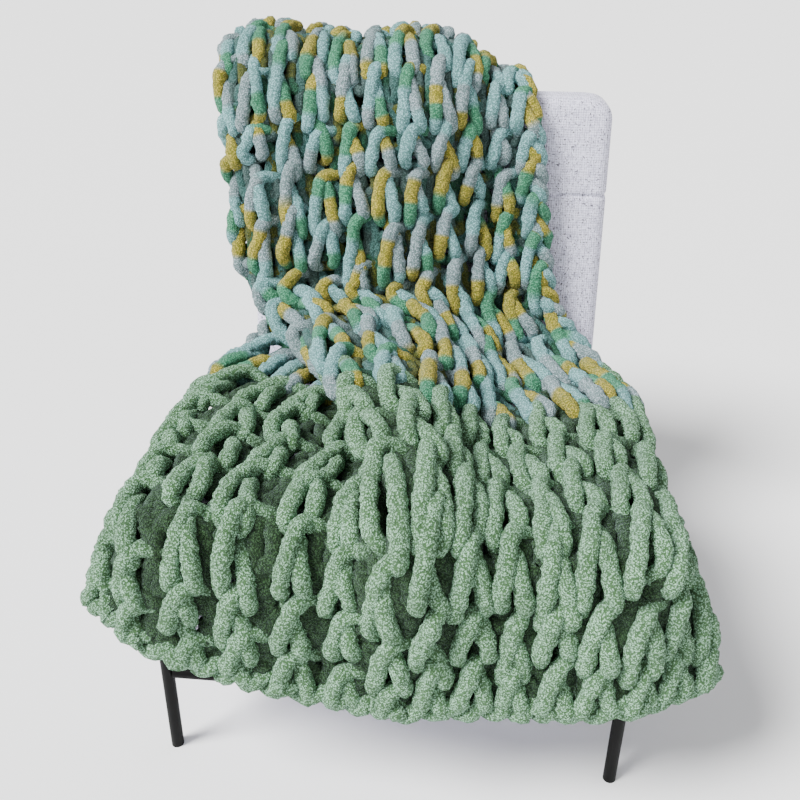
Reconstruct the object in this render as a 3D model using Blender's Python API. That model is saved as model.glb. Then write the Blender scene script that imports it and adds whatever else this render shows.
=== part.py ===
"""Chunky crochet throw draped over an armless upholstered chair.

The chair is plain: a seat block, a leaning back block, four legs and four rails. The throw is one net
of thick loops, fifteen wales wide and fifteen loops long. Its middle surface is a spine, which climbs
the front of the seat, crosses it and goes over the back, with a cross-section at each point of the
spine. The cross-section holds the hanging sides and the pleat, which is folded under on the back and
opens into a raised ridge on the seat.
"""
import math

import bmesh
import bpy
import numpy as np

# where the chair's own frame lies: its Y starts at the front legs
SHIFT_X = -0.009
SHIFT_Y = -0.383

# chair
SEAT_HALF = 0.325
SEAT_FRONT = -0.012
SEAT_REAR = 0.660
SEAT_BOTTOM = 0.200
SEAT_TOP = 0.405
SEAT_ROUND = 0.040
SEAT_CORNER = 0.030
SEAT_EDGE = 0.004
# the seat's crown: height over the seat's top, and how far in from the sides, front and rear
CROWN = ("rise", "side", "front", "rear")
CROWN_ROWS = (
    (0.0000, 0.050, 0.050, 0.110),
    (0.0042, 0.100, 0.090, 0.145),
    (0.0069, 0.155, 0.130, 0.180),
    (0.0079, 0.200, 0.170, 0.215),
)
BACK_HALF = 0.3065
BACK_FRONT = 0.568
BACK_FRONT_AT = 0.450
BACK_LEAN = 0.231
BACK_DEPTH = 0.0975
BACK_TOP = 0.837
BACK_CORNER = 0.036
BACK_ROUND = 0.020
GAP = 0.0003
TUBE_R = 0.009
TUBE_SIDES = 24
LEG_X = 0.316
LEG_YS = (0.0, 0.600)
RAIL_Z = 0.143

# throw
WALES = 15
LOOPS = 15
EDGE_WALE = 6.3
LIFT = 0.021
BEND_R = 0.042
TURN = 0.55
TURN_LEAST = 0.016
STEPS = 6
WINDOW = 4
TIGHT = 0.90
NEAR = 0.006
FAR = 0.200

SPINE = ("y", "z", "radius")
SPINE_ROWS = (
    (-0.050, 0.1770, 0.000),
    (-0.018, 0.4095, 0.050),
    (0.5555, 0.4095, 0.160),
    (0.650, 0.8390, 0.052),
    (0.784, 0.8400, 0.056),
    (0.730, 0.6050, 0.000),
)

# one row for each station along the spine: the left shoulder and its strip's length and bend, the
# turn under the pleat, the pleat's fold edge, the rise of one layer, the far end of the raised part
# and the width of its slope, the right shoulder and its strip, and half the throw's thickness
SECTION = ("s", "left", "left_len", "left_bend", "turn", "fold", "rise", "crest", "slope",
           "right", "right_len", "right_bend", "half")
SECTION_ROWS = (
    (0.00, -0.300, 0.120, 18, -0.045, 0.000, 0.005, 0.030, 0.080, 0.295, 0.150, 22, 0.0130),
    (0.12, -0.305, 0.125, 38, -0.040, -0.005, 0.014, 0.025, 0.090, 0.300, 0.140, 40, 0.0130),
    (0.24, -0.305, 0.135, 66, -0.035, -0.012, 0.027, 0.020, 0.095, 0.305, 0.135, 68, 0.0130),
    (0.35, -0.305, 0.145, 84, -0.014, -0.052, 0.036, 0.010, 0.100, 0.305, 0.140, 84, 0.0125),
    (0.50, -0.305, 0.140, 86, -0.050, -0.120, 0.042, 0.000, 0.120, 0.305, 0.130, 86, 0.0120),
    (0.60, -0.305, 0.090, 60, -0.060, -0.170, 0.041, 0.000, 0.140, 0.305, 0.070, 50, 0.0115),
    (0.72, -0.260, 0.045, 5, -0.060, -0.235, 0.040, 0.010, 0.150, 0.270, 0.030, 5, 0.0115),
    (0.85, -0.240, 0.030, 0, -0.060, -0.295, 0.038, -0.010, 0.160, 0.200, 0.030, 0, 0.0120),
    (1.00, -0.310, 0.030, 0, -0.100, -0.318, 0.036, -0.040, 0.160, 0.175, 0.030, 0, 0.0105),
    (1.13, -0.280, 0.030, 0, -0.115, -0.332, 0.030, 0.000, 0.120, 0.158, 0.030, 0, 0.0075),
    (1.23, -0.305, 0.030, 0, -0.115, -0.350, 0.0255, 0.040, 0.075, 0.130, 0.030, 0, 0.0060),
    (1.32, -0.305, 0.030, 0, -0.115, -0.345, 0.029, 0.020, 0.100, 0.125, 0.030, 0, 0.0065),
    (1.52, -0.300, 0.030, 0, -0.115, -0.325, 0.030, 0.000, 0.090, 0.115, 0.030, 0, 0.0070),
)

# how far the rows of loops lag behind at the two selvedges, and where that fades out; the last two
# are the shares of the throw's width at which the lag begins, from the left and from the right
LAG = {"left": 0.10, "right": 0.03, "right_more": 0.15, "from": 0.55, "over": 0.60,
       "left_of": 0.35, "right_of": 0.55}

# points of one loop: place across and along it, and height of its two faces in half thicknesses
LOOP = ("name", "across", "along", "front", "back")
LOOP_ROWS = (
    ("corner", 0.00, 0.00, 0.00, -0.60),
    ("head", 0.50, 0.00, 0.80, -1.00),
    ("groove", 0.00, 0.50, 0.05, -0.60),
    ("leg_left", 0.19, 0.50, 1.00, -1.00),
    ("leg_right", 0.81, 0.50, 1.00, -1.00),
    ("low", 0.50, 0.14, 0.45, -0.70),
    ("wide_right", 0.70, 0.56, 0.40, -0.65),
    ("high", 0.50, 0.85, 0.45, -0.70),
    ("wide_left", 0.30, 0.56, 0.40, -0.65),
)
EDGE_FRONT = 0.50
EDGE_BACK = -0.70
HOLE = ("low", "wide_right", "high", "wide_left")

MATERIALS = {
    "yarn": ((0.33, 0.45, 0.32), 0.95, 0.0),
    "tweed": ((0.60, 0.58, 0.61), 0.90, 0.0),
    "tube": ((0.02, 0.02, 0.02), 0.45, 0.0),
}


def clear_scene():
    """Take every object out of the scene."""
    for item in list(bpy.data.objects):
        bpy.data.objects.remove(item, do_unlink=True)


def material(name):
    """A Principled material of the named colour, roughness and metallic."""
    colour, roughness, metallic = MATERIALS[name]
    made = bpy.data.materials.get(name) or bpy.data.materials.new(name)
    made.use_nodes = True
    shader = made.node_tree.nodes["Principled BSDF"]
    shader.inputs["Base Color"].default_value = (*colour, 1.0)
    shader.inputs["Roughness"].default_value = roughness
    shader.inputs["Metallic"].default_value = metallic
    return made


def add_object(name, mesh, look, smooth):
    """Link a mesh as a named object in one material."""
    mesh.polygons.foreach_set("use_smooth", [smooth] * len(mesh.polygons))
    item = bpy.data.objects.new(name, mesh)
    bpy.context.scene.collection.objects.link(item)
    item.data.materials.append(material(look))
    return item


def prism(name, outline, ends, look, smooth=False):
    """A solid between two ends of one outline; an end maps the outline's points into place."""
    body = bmesh.new()
    rings = [[body.verts.new(end(p)) for p in outline] for end in ends]
    count = len(outline)
    body.faces.new(rings[0])
    body.faces.new(rings[1])
    for k in range(count):
        n = (k + 1) % count
        body.faces.new((rings[0][k], rings[0][n], rings[1][n], rings[1][k]))
    bmesh.ops.recalc_face_normals(body, faces=body.faces[:])
    mesh = bpy.data.meshes.new(name)
    body.to_mesh(mesh)
    body.free()
    return add_object(name, mesh, look, smooth)


def soften(item, width, segments):
    """Round the sharp edges of a block."""
    bevel = item.modifiers.new("round", "BEVEL")
    bevel.width = width
    bevel.segments = segments
    bevel.limit_method = "ANGLE"
    bevel.angle_limit = math.radians(35)


def seat():
    """The seat block: level rings of a rounded rectangle, rounded in at the top and crowned."""
    levels = [(SEAT_BOTTOM, SEAT_EDGE, SEAT_EDGE, SEAT_EDGE), (SEAT_BOTTOM + SEAT_EDGE, 0.0, 0.0, 0.0)]
    for k in range(5):
        turn = math.radians(22.5 * k)
        inset = SEAT_ROUND * (1 - math.cos(turn))
        levels.append((SEAT_TOP - SEAT_ROUND * (1 - math.sin(turn)), inset, inset, inset))
    levels += [(SEAT_TOP + rise, *insets) for rise, *insets in CROWN_ROWS]
    body = bmesh.new()
    rings = []
    for z, side_in, front_in, rear_in in levels:
        half_x = SEAT_HALF - side_in - SEAT_CORNER
        y_rear = SEAT_REAR - rear_in - SEAT_CORNER
        y_front = SEAT_FRONT + front_in + SEAT_CORNER
        ring = []
        for quarter, (x, y) in enumerate(((half_x, y_rear), (-half_x, y_rear),
                                          (-half_x, y_front), (half_x, y_front))):
            for k in range(4):
                turn = math.radians(90 * quarter + 30 * k)
                ring.append(body.verts.new((x + SEAT_CORNER * math.cos(turn) + SHIFT_X,
                                            y + SEAT_CORNER * math.sin(turn) + SHIFT_Y, z)))
        rings.append(ring)
    for low, high in zip(rings, rings[1:]):
        for k in range(len(low)):
            n = (k + 1) % len(low)
            body.faces.new((low[k], low[n], high[n], high[k]))
    body.faces.new(rings[0][::-1])
    body.faces.new(rings[-1])
    mesh = bpy.data.meshes.new("seat")
    body.to_mesh(mesh)
    body.free()
    add_object("seat", mesh, "tweed", smooth=False)


def back():
    """The leaning back block, with rounded upper corners, standing just above the seat."""
    low = SEAT_TOP + GAP
    outline = [(-BACK_HALF, low), (BACK_HALF, low)]
    for side, start in ((1, 0.0), (-1, 90.0)):
        for k in range(5):
            turn = math.radians(start + 22.5 * k)
            outline.append((side * (BACK_HALF - BACK_CORNER) + BACK_CORNER * math.cos(turn),
                            BACK_TOP - BACK_CORNER + BACK_CORNER * math.sin(turn)))
    front = BACK_FRONT + SHIFT_Y

    def place(p, depth):
        return (p[0] + SHIFT_X, front + BACK_LEAN * (p[1] - BACK_FRONT_AT) + depth, p[1])

    ends = [lambda p, depth=depth: place(p, depth) for depth in (0.0, BACK_DEPTH)]
    soften(prism("back", outline, ends, "tweed"), BACK_ROUND, 4)


def tube(name, start, end):
    """A round bar between two points, along X, Y or Z."""
    start = np.array(start)
    end = np.array(end)
    way = int(np.argmax(np.abs(end - start)))
    side, up = [k for k in range(3) if k != way]

    def place(p, at):
        spot = at.copy()
        spot[side] += TUBE_R * p[0]
        spot[up] += TUBE_R * p[1]
        return spot + (SHIFT_X, SHIFT_Y, 0.0)

    turns = [2.0 * math.pi * k / TUBE_SIDES for k in range(TUBE_SIDES)]
    outline = [(math.cos(t), math.sin(t)) for t in turns]
    ends = [lambda p, at=at: place(p, at) for at in (start, end)]
    prism(name, outline, ends, "tube", smooth=True)


def frame():
    """Four legs and four rails."""
    y_front, y_rear = LEG_YS
    for where, y in (("front", y_front), ("rear", y_rear)):
        for side, x in (("left", -LEG_X), ("right", LEG_X)):
            tube(f"leg_{where}_{side}", (x, y, 0.0), (x, y, SEAT_BOTTOM - GAP))
    clear = TUBE_R + GAP
    for where, y in (("front", y_front), ("rear", y_rear)):
        tube(f"rail_{where}", (-LEG_X + clear, y, RAIL_Z), (LEG_X - clear, y, RAIL_Z))
    for side, x in (("left", -LEG_X), ("right", LEG_X)):
        tube(f"rail_{side}", (x, y_front + clear, RAIL_Z), (x, y_rear - clear, RAIL_Z))


def spine_path(step=0.004):
    """Lengths along the spine and its points (y, z), with its corners rounded."""
    rows = np.array(SPINE_ROWS)
    corners = rows[:, :2]
    path = []
    here = corners[0]
    for before, at, after, radius in zip(corners, corners[1:], corners[2:], rows[1:, 2]):
        come = (at - before) / np.linalg.norm(at - before)
        leave = (after - at) / np.linalg.norm(after - at)
        bend = math.atan2(come[0] * leave[1] - come[1] * leave[0], float(come @ leave))
        reach = radius * math.tan(abs(bend) / 2)
        start = at - come * reach
        count = max(2, int(np.linalg.norm(start - here) / step))
        path += [here + (start - here) * k / count for k in range(count)]
        middle = start + math.copysign(radius, bend) * np.array((-come[1], come[0]))
        count = max(3, int(radius * abs(bend) / step))
        for k in range(count):
            turn = bend * k / count
            arm = start - middle
            path.append(middle + (arm[0] * math.cos(turn) - arm[1] * math.sin(turn),
                                  arm[0] * math.sin(turn) + arm[1] * math.cos(turn)))
        here = at + leave * reach
    count = max(2, int(np.linalg.norm(corners[-1] - here) / step))
    path += [here + (corners[-1] - here) * k / count for k in range(count + 1)]
    path = np.array(path)
    steps = np.linalg.norm(np.diff(path, axis=0), axis=1)
    return np.concatenate([[0.0], np.cumsum(steps)]), path


SPINE_AT, SPINE_PATH = spine_path()
LENGTH = float(SPINE_AT[-1])


def spine(s):
    """Points (y, z) of the spine at lengths s."""
    return np.stack([np.interp(s, SPINE_AT, SPINE_PATH[:, k]) for k in (0, 1)])


def outward(s, reach):
    """Unit normal (y, z) of the spine at lengths s, from its points a reach before and after."""
    way = spine(s + reach) - spine(s - reach)
    return np.stack([-way[1], way[0]]) / np.hypot(*way)


def stations(s):
    """The section table read at lengths s by a monotone cubic, as named columns."""
    table = np.array(SECTION_ROWS)
    at = table[:, 0]
    value = table[:, 1:]
    gap = np.diff(at)[:, None]
    rate = np.diff(value, axis=0) / gap
    heavy = 2 * gap[1:] + gap[:-1]
    light = gap[1:] + 2 * gap[:-1]
    slope = np.zeros_like(value)
    slope[0] = rate[0]
    slope[-1] = rate[-1]
    level = rate[:-1] * rate[1:] <= 0
    below = np.where(level, 1.0, rate[:-1])
    above = np.where(level, 1.0, rate[1:])
    slope[1:-1] = np.where(level, 0.0, (heavy + light) / (heavy / below + light / above))
    k = np.clip(np.searchsorted(at, s) - 1, 0, len(at) - 2)
    t = ((s - at[k]) / (at[k + 1] - at[k]))[:, None]
    width = (at[k + 1] - at[k])[:, None]
    read = ((2 * t**3 - 3 * t**2 + 1) * value[k] + (t**3 - 2 * t**2 + t) * width * slope[k]
            + (3 * t**2 - 2 * t**3) * value[k + 1] + (t**3 - t**2) * width * slope[k + 1])
    return dict(zip(SECTION[1:], read.T))


def hanging(shoulder, length, bend, side, part):
    """The point at a share of a side strip that bends down from its shoulder."""
    arc = np.minimum(BEND_R * bend, length)
    along = part * length
    turn = np.minimum(along, arc) / BEND_R
    rest = np.maximum(along - arc, 0.0)
    x = shoulder + side * (BEND_R * np.sin(turn) + rest * np.cos(turn))
    return x, LIFT - BEND_R * (1.0 - np.cos(turn)) - rest * np.sin(turn)


def section_points(s):
    """Points (x, height) of the section from the left edge to the right, and the fold edge's number."""
    v = stations(s)
    bends = [np.radians(np.maximum(v[key], 0.01)) for key in ("left_bend", "right_bend")]
    turn = v["turn"]
    fold = v["fold"]
    crest = v["crest"]
    ease = np.maximum(TURN * v["rise"], TURN_LEAST)
    tuck = np.clip(0.45 * (turn - fold), -ease, ease)
    low = np.full_like(turn, LIFT)
    middle = low + v["rise"]
    top = low + 2 * v["rise"]
    points = [hanging(v["left"], v["left_len"], bends[0], -1, p) for p in (1.0, 0.75, 0.5, 0.25)]
    inner = turn - ease
    points += [(v["left"] + p * (inner - v["left"]), low) for p in (0.0, 0.35, 0.7, 1.0)]
    points += [(turn, (low + middle) / 2), (turn - tuck, middle), ((turn + fold) / 2, middle),
               (fold + tuck, middle), (fold, (middle + top) / 2)]
    edge = len(points) - 1
    points += [(fold + ease, top), ((fold + ease + crest) / 2, top), (crest, top),
               (crest + v["slope"] / 2, (low + top) / 2), (crest + v["slope"], low),
               ((crest + v["slope"] + v["right"]) / 2, low), (v["right"], low)]
    points += [hanging(v["right"], v["right_len"], bends[1], 1, p) for p in (0.25, 0.5, 0.75, 1.0)]
    return np.array(points), edge


def section_grid(count=181):
    """Sections along the spine as smooth curves, with the wale number of each of their points.

    A third value of each point is the half thickness that its bend has room for.
    """
    at = np.linspace(0.0, LENGTH, count)
    points, edge = section_points(at)
    points = np.moveaxis(points, 1, 2)
    step = np.linalg.norm(np.diff(points, axis=0), axis=-1, keepdims=True) + 1e-6
    rate = np.diff(points, axis=0) / step
    share = step[1:] / (step[1:] + step[:-1])
    slope = np.concatenate([rate[:1], share * rate[:-1] + (1 - share) * rate[1:], rate[-1:]])
    parts = []
    for k in range(STEPS):
        t = k / STEPS
        parts.append((2 * t**3 - 3 * t**2 + 1) * points[:-1] + (t**3 - 2 * t**2 + t) * step * slope[:-1]
                     + (3 * t**2 - 2 * t**3) * points[1:] + (t**3 - t**2) * step * slope[1:])
    curve = np.stack(parts, 1).reshape(-1, count, 2)
    curve = np.concatenate([curve, points[-1:]])
    piece = np.linalg.norm(np.diff(curve, axis=0), axis=-1)
    run = np.concatenate([np.zeros((1, count)), np.cumsum(piece, axis=0)])
    split = run[edge * STEPS]
    wale = np.where(run <= split, run / split * EDGE_WALE,
                    EDGE_WALE + (run - split) / (run[-1] - split) * (WALES - EDGE_WALE))
    way = np.diff(curve, axis=0) / piece[..., None]
    bend = np.linalg.norm(np.diff(way, axis=0), axis=-1) / (piece[1:] + piece[:-1]) * 2
    bend = np.pad(bend, ((1 + WINDOW, 1 + WINDOW), (0, 0)), mode="edge")
    bend = np.max([bend[k:k + len(curve)] for k in range(2 * WINDOW + 1)], axis=0)
    room = TIGHT / np.maximum(bend, 1.0)
    return at, np.concatenate([curve, room[..., None]], axis=-1), wale


GRID_AT, GRID_CURVE, GRID_WALE = section_grid()


def lag(wale, along):
    """How far along the spine a selvedge's loops sit past those in the middle."""
    share = wale / WALES
    left = LAG["left"] * np.clip(1 - share / LAG["left_of"], 0, 1)**1.3
    more = LAG["right_more"] * np.clip(along / 0.5, 0, 1)
    right_share = np.clip((share - LAG["right_of"]) / (1 - LAG["right_of"]), 0, 1)
    right = (LAG["right"] + more) * right_share**1.3
    fade = 1.0 - np.clip((along - LAG["from"]) / LAG["over"], 0, 1)
    return (left + right) * fade * fade * (3 - 2 * fade)


def middle_surface(wale, along):
    """Points of the throw's middle surface at wale numbers and lengths from the front hem."""
    s = np.clip(along + lag(wale, along), 0.0, LENGTH)
    place = np.clip(s / GRID_AT[1], 0, len(GRID_AT) - 1.001)
    first = place.astype(int)
    mix = (place - first)[:, None]
    found = []
    for pick in (first, first + 1):
        flat = np.empty((len(wale), 3))
        for k in np.unique(pick):
            mine = pick == k
            for axis in (0, 1, 2):
                flat[mine, axis] = np.interp(wale[mine], GRID_WALE[:, k], GRID_CURVE[:, k, axis])
        found.append(flat)
    x, height, room = (found[0] * (1 - mix) + found[1] * mix).T
    above = np.maximum(height, 0.0) * outward(s, NEAR)
    below = np.minimum(height, 0.0) * outward(s, FAR)
    y, z = spine(s) + above + below
    return np.stack([x, y, z], axis=-1), np.minimum(stations(s)["half"], room)


def face_points(wale, along, front, back):
    """The front and back points of the throw over its middle surface."""
    eps_w = 0.04
    eps_a = 0.003
    here, half = middle_surface(wale, along)
    across = middle_surface(wale + eps_w, along)[0] - middle_surface(wale - eps_w, along)[0]
    up = middle_surface(wale, along + eps_a)[0] - middle_surface(wale, along - eps_a)[0]
    normal = np.cross(across, up)
    normal /= np.linalg.norm(normal, axis=1, keepdims=True)
    shift = np.array((SHIFT_X, SHIFT_Y, 0.0))
    return [here + normal * (half * share)[:, None] + shift for share in (front, back)]


def loop_numbers():
    """Number every point of the net: a key (name, column, row) and its values."""
    values = []
    number = {}
    for name, across, along, front, back in LOOP_ROWS:
        last_col = WALES + (1 if across == 0.0 else 0)
        last_row = LOOPS + (1 if along == 0.0 else 0)
        for col in range(last_col):
            for row in range(last_row):
                edge = (across == 0.0 and col in (0, WALES)) or (along == 0.0 and row in (0, LOOPS))
                top = EDGE_FRONT if edge else front
                under = EDGE_BACK if edge else back
                number[name, col, row] = len(values)
                values.append((col + across, (row + along) * LENGTH / LOOPS, top, under))
    return number, np.array(values)


def throw():
    """The throw: two faces of triangles, joined around every hole and around the edge."""
    number, values = loop_numbers()
    front, back = face_points(*values.T)
    body = bmesh.new()
    over = [body.verts.new(p) for p in front]
    under = [body.verts.new(p) for p in back]

    def wall(a, b):
        body.faces.new((over[a], under[a], over[b]))
        body.faces.new((under[a], under[b], over[b]))

    for col in range(WALES):
        for row in range(LOOPS):
            def at(name, right=0, up=0, col=col, row=row):
                return number[name, col + right, row + up]
            low, right, high, left = (at(name) for name in HOLE)
            c00, c10, c11, c01 = at("corner"), at("corner", 1), at("corner", 1, 1), at("corner", 0, 1)
            h0, h1, g0, g1 = at("head"), at("head", 0, 1), at("groove"), at("groove", 1)
            right_ring = (low, c10, g1, c11, high, right)
            left_ring = (high, c01, g0, c00, low, left)
            faces = [(c00, h0, low), (h0, c10, low), (c11, h1, high), (h1, c01, high)]
            for ring, leg in ((right_ring, at("leg_right")), (left_ring, at("leg_left"))):
                faces += [(a, b, leg) for a, b in zip(ring, ring[1:] + ring[:1])]
            for a, b, c in faces:
                body.faces.new((over[a], over[b], over[c]))
                body.faces.new((under[c], under[b], under[a]))
            rim = (low, left, high, right)
            for a, b in zip(rim, rim[1:] + rim[:1]):
                wall(a, b)

    border = []
    for col in range(WALES):
        border += [("corner", col, 0), ("head", col, 0)]
    for row in range(LOOPS):
        border += [("corner", WALES, row), ("groove", WALES, row)]
    for col in reversed(range(WALES)):
        border += [("corner", col + 1, LOOPS), ("head", col, LOOPS)]
    for row in reversed(range(LOOPS)):
        border += [("corner", 0, row + 1), ("groove", 0, row)]
    ring = [number[key] for key in border]
    for a, b in zip(ring, ring[1:] + ring[:1]):
        wall(a, b)
    mesh = bpy.data.meshes.new("blanket")
    body.to_mesh(mesh)
    body.free()
    add_object("blanket", mesh, "yarn", smooth=True)


clear_scene()
seat()
back()
frame()
throw()
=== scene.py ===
"""Chunky crochet throw over an armless chair: the dressed model on its frame.

The throw is laid as yarn. Its middle surface is the one that the solids use: a spine that climbs
the front of the seat, crosses it and goes over the back, with a cross-section at each point of the
spine. Every course of the throw is one strand that runs across that surface in tall loops.
"""

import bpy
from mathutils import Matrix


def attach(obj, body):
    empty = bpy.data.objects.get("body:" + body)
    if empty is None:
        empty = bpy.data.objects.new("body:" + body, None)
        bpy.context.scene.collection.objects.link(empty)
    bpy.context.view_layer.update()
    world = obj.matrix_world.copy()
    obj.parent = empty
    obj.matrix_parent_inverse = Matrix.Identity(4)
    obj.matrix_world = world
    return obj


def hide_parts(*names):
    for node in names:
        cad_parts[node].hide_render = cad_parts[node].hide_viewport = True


bl_info = {
    "name": "Crochet throw on an armless chair",
    "version": (1, 0, 0),
    "blender": (4, 5, 0),
    "location": "3D View > Sidebar > Throw",
    "description": "Builds the yarn, cushions, metal and stage of a throw on an armless chair",
    "category": "Object",
}

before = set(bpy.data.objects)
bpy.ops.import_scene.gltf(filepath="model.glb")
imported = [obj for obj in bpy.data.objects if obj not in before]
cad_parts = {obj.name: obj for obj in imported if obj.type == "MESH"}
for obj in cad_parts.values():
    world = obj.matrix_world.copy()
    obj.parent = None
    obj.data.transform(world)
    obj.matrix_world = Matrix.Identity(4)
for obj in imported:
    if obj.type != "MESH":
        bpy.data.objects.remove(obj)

import math

import bpy
import numpy as np

# from the chair's own frame to the shared one
SHIFT = (-0.009, -0.383, 0.0)

# seat and back, in the chair's own frame: X from its middle, Y from its front legs; a row of the
# seat is its level, then how far in it is from the sides, the front and the rear
SEAT_CENTRE_Y = 0.324
SEAT_HALF = (0.325, 0.336)
SEAT_ROWS = (
    (0.2000, 0.006, 0.006, 0.006),
    (0.2060, 0.001, 0.001, 0.001),
    (0.2200, 0.000, 0.000, 0.000),
    (0.2900, 0.000, 0.000, 0.000),
    (0.3650, 0.000, 0.000, 0.000),
    (0.3803, 0.003, 0.003, 0.003),
    (0.3933, 0.012, 0.012, 0.012),
    (0.4020, 0.025, 0.025, 0.025),
    (0.4050, 0.040, 0.040, 0.060),
    (0.4052, 0.050, 0.050, 0.110),
    (0.4062, 0.100, 0.090, 0.145),
    (0.4072, 0.155, 0.130, 0.180),
    (0.4076, 0.200, 0.170, 0.215),
    (0.4078, 0.290, 0.290, 0.290),
)
SEAT_CORNER = 0.030
# the back: half its width, its front face at a level, how it leans, its depth, foot and top, how
# its sides, faces, foot and corners are rounded, its seam, and the rings on the back and the seam
BACK_HALF = 0.3065
BACK_FRONT = 0.571
BACK_FRONT_AT = 0.450
BACK_LEAN = 0.231
BACK_DEPTH = 0.0925
BACK_LOW = 0.4055
BACK_TOP = 0.835
BACK_CORNER = 0.036
BACK_ROUND = 0.020
BACK_UNDER = 0.012
BACK_EDGE = 0.020
BACK_LEVELS = 90
BACK_SEAM = 0.680
SEAM_REACH = 0.012
SEAM_DEPTH = 0.0035
SEAM_LEVELS = 17
# the shares of its rounding that a face and the foot take, and of the depth that a corner takes
ROUND_SHARE = 0.98
UNDER_SHARE = 0.9
CORNER_SHARE = 0.45
TUBE_COUNT = 8

# the throw: wales across it and courses along it
WALES = 15
COURSES = 19
# the plain sage yarn ends in this course, at this wale
SAGE_COURSES = 6
CHANGE_WALE = 6.3

# the throw's middle surface, as in the solids: its height over the spine, the bend of its hanging
# sides, the turn at the pleat as a share of the rise and at least, and how far apart the points
# are that give the spine's normal to what lies over it and under it
LIFT = 0.021
BEND_R = 0.042
TURN = 0.55
TURN_LEAST = 0.016
NEAR = 0.006
FAR = 0.200
# corners of the spine, in the chair's own frame: y, z and the radius of the arc there
SPINE_ROWS = (
    (-0.050, 0.1770, 0.000),
    (-0.018, 0.4095, 0.050),
    (0.5555, 0.4095, 0.160),
    (0.650, 0.8390, 0.052),
    (0.784, 0.8400, 0.056),
    (0.730, 0.6050, 0.000),
)
# the section at lengths s along the spine: shoulder, length and bend of the left side, the pleat's
# turn, fold edge, rise, crest and slope, the right side, and half of the sheet's thickness
SECTION = ("s", "left", "left_len", "left_bend", "turn", "fold", "rise", "crest", "slope",
           "right", "right_len", "right_bend", "half")
SECTION_ROWS = (
    (0.00, -0.300, 0.120, 18, -0.045, 0.000, 0.005, 0.030, 0.080, 0.295, 0.150, 22, 0.0130),
    (0.12, -0.305, 0.125, 38, -0.040, -0.005, 0.014, 0.025, 0.090, 0.300, 0.140, 40, 0.0130),
    (0.24, -0.305, 0.135, 66, -0.035, -0.012, 0.027, 0.020, 0.095, 0.305, 0.135, 68, 0.0130),
    (0.35, -0.305, 0.145, 84, -0.014, -0.052, 0.036, 0.010, 0.100, 0.305, 0.140, 84, 0.0125),
    (0.50, -0.305, 0.140, 86, -0.050, -0.120, 0.040, 0.000, 0.120, 0.305, 0.130, 86, 0.0120),
    (0.60, -0.305, 0.090, 60, -0.060, -0.170, 0.041, 0.000, 0.140, 0.305, 0.070, 50, 0.0115),
    (0.72, -0.260, 0.045, 5, -0.060, -0.235, 0.040, 0.010, 0.150, 0.270, 0.030, 5, 0.0115),
    (0.85, -0.240, 0.030, 0, -0.060, -0.295, 0.038, -0.010, 0.160, 0.200, 0.030, 0, 0.0120),
    (1.00, -0.310, 0.030, 0, -0.100, -0.318, 0.036, -0.040, 0.160, 0.175, 0.030, 0, 0.0105),
    (1.13, -0.280, 0.030, 0, -0.115, -0.332, 0.030, 0.000, 0.120, 0.158, 0.030, 0, 0.0075),
    (1.23, -0.305, 0.030, 0, -0.115, -0.350, 0.0255, 0.040, 0.075, 0.130, 0.030, 0, 0.0060),
    (1.32, -0.305, 0.030, 0, -0.115, -0.345, 0.029, 0.020, 0.100, 0.125, 0.030, 0, 0.0065),
    (1.52, -0.300, 0.030, 0, -0.115, -0.325, 0.030, 0.000, 0.090, 0.115, 0.030, 0, 0.0070),
)
# how far the loops at the selvedges sit past the middle ones, the length where that starts to fade
# and over which, and the shares of the width that it reaches
LAG = {"left": 0.10, "right": 0.03, "right_more": 0.15, "from": 0.55, "over": 0.60,
       "left_of": 0.35, "right_of": 0.55}
LAG_POWER = 1.3
# even steps to a wale in the grid of sections, and the steps that give the surface's normal
WALE_STEPS = 40
NEAR_WALE = 0.06
NEAR_ALONG = 0.006

# lengths along the spine with the wale that lies on the fold edge there
EDGE_ROWS = ((0.00, 6.3), (0.45, 6.3), (0.70, 5.4), (0.95, 4.4), (1.52, 4.2))
# courses passed from the front hem with the length along the spine there
PASSED_ROWS = ((-1, -0.078), (0, 0.0), (7, 0.535), (8, 0.655), (9, 0.79), (10, 0.895), (11, 0.99),
               (12, 1.07), (13, 1.135), (14, 1.185), (15, 1.23), (16, 1.275), (17, 1.335),
               (18, 1.42), (19, 1.513))

# one loop of a course: the share of the wale passed, place across the wale, side of the wale's
# middle in half leg distances, place along in course pitches and height over the middle surface
# in reliefs
LOOP_ROWS = (
    (0.00, 0.00, 0.00, 0.46, -0.40),
    (0.08, 0.27, 0.00, 0.47, -0.90),
    (0.15, 0.47, 0.00, 0.36, -0.55),
    (0.24, 0.50, 0.50, 0.08, 0.55),
    (0.35, 0.50, 1.15, -0.30, 1.15),
    (0.42, 0.50, 1.25, -0.54, 0.40),
    (0.50, 0.50, 0.00, -0.60, -1.30),
    (0.58, 0.50, -1.25, -0.54, 0.40),
    (0.65, 0.50, -1.15, -0.30, 1.15),
    (0.76, 0.50, -0.50, 0.08, 1.25),
    (0.85, 0.54, 0.00, 0.38, 1.25),
    (0.92, 0.73, 0.00, 0.47, 0.20),
    (1.00, 1.00, 0.00, 0.46, -0.40),
)
LOOP_POINTS = 90
# how far inside the hems and, in wales, inside the selvedges the loops stay
HEM_IN = 0.016
SIDE_IN = 0.16
SEED = 11

# how much a loop's legs stray in spread, place across, place along and height, how far whole wales
# sit past their neighbours, and how steeply they change over
SPREAD_STRAY = 0.30
ACROSS_STRAY = 0.36
ALONG_STRAY = 1.5
HEIGHT_STRAY = 0.30
STAGGER_STRAY = 1.1
STAGGER_STEEP = 1.6

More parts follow.
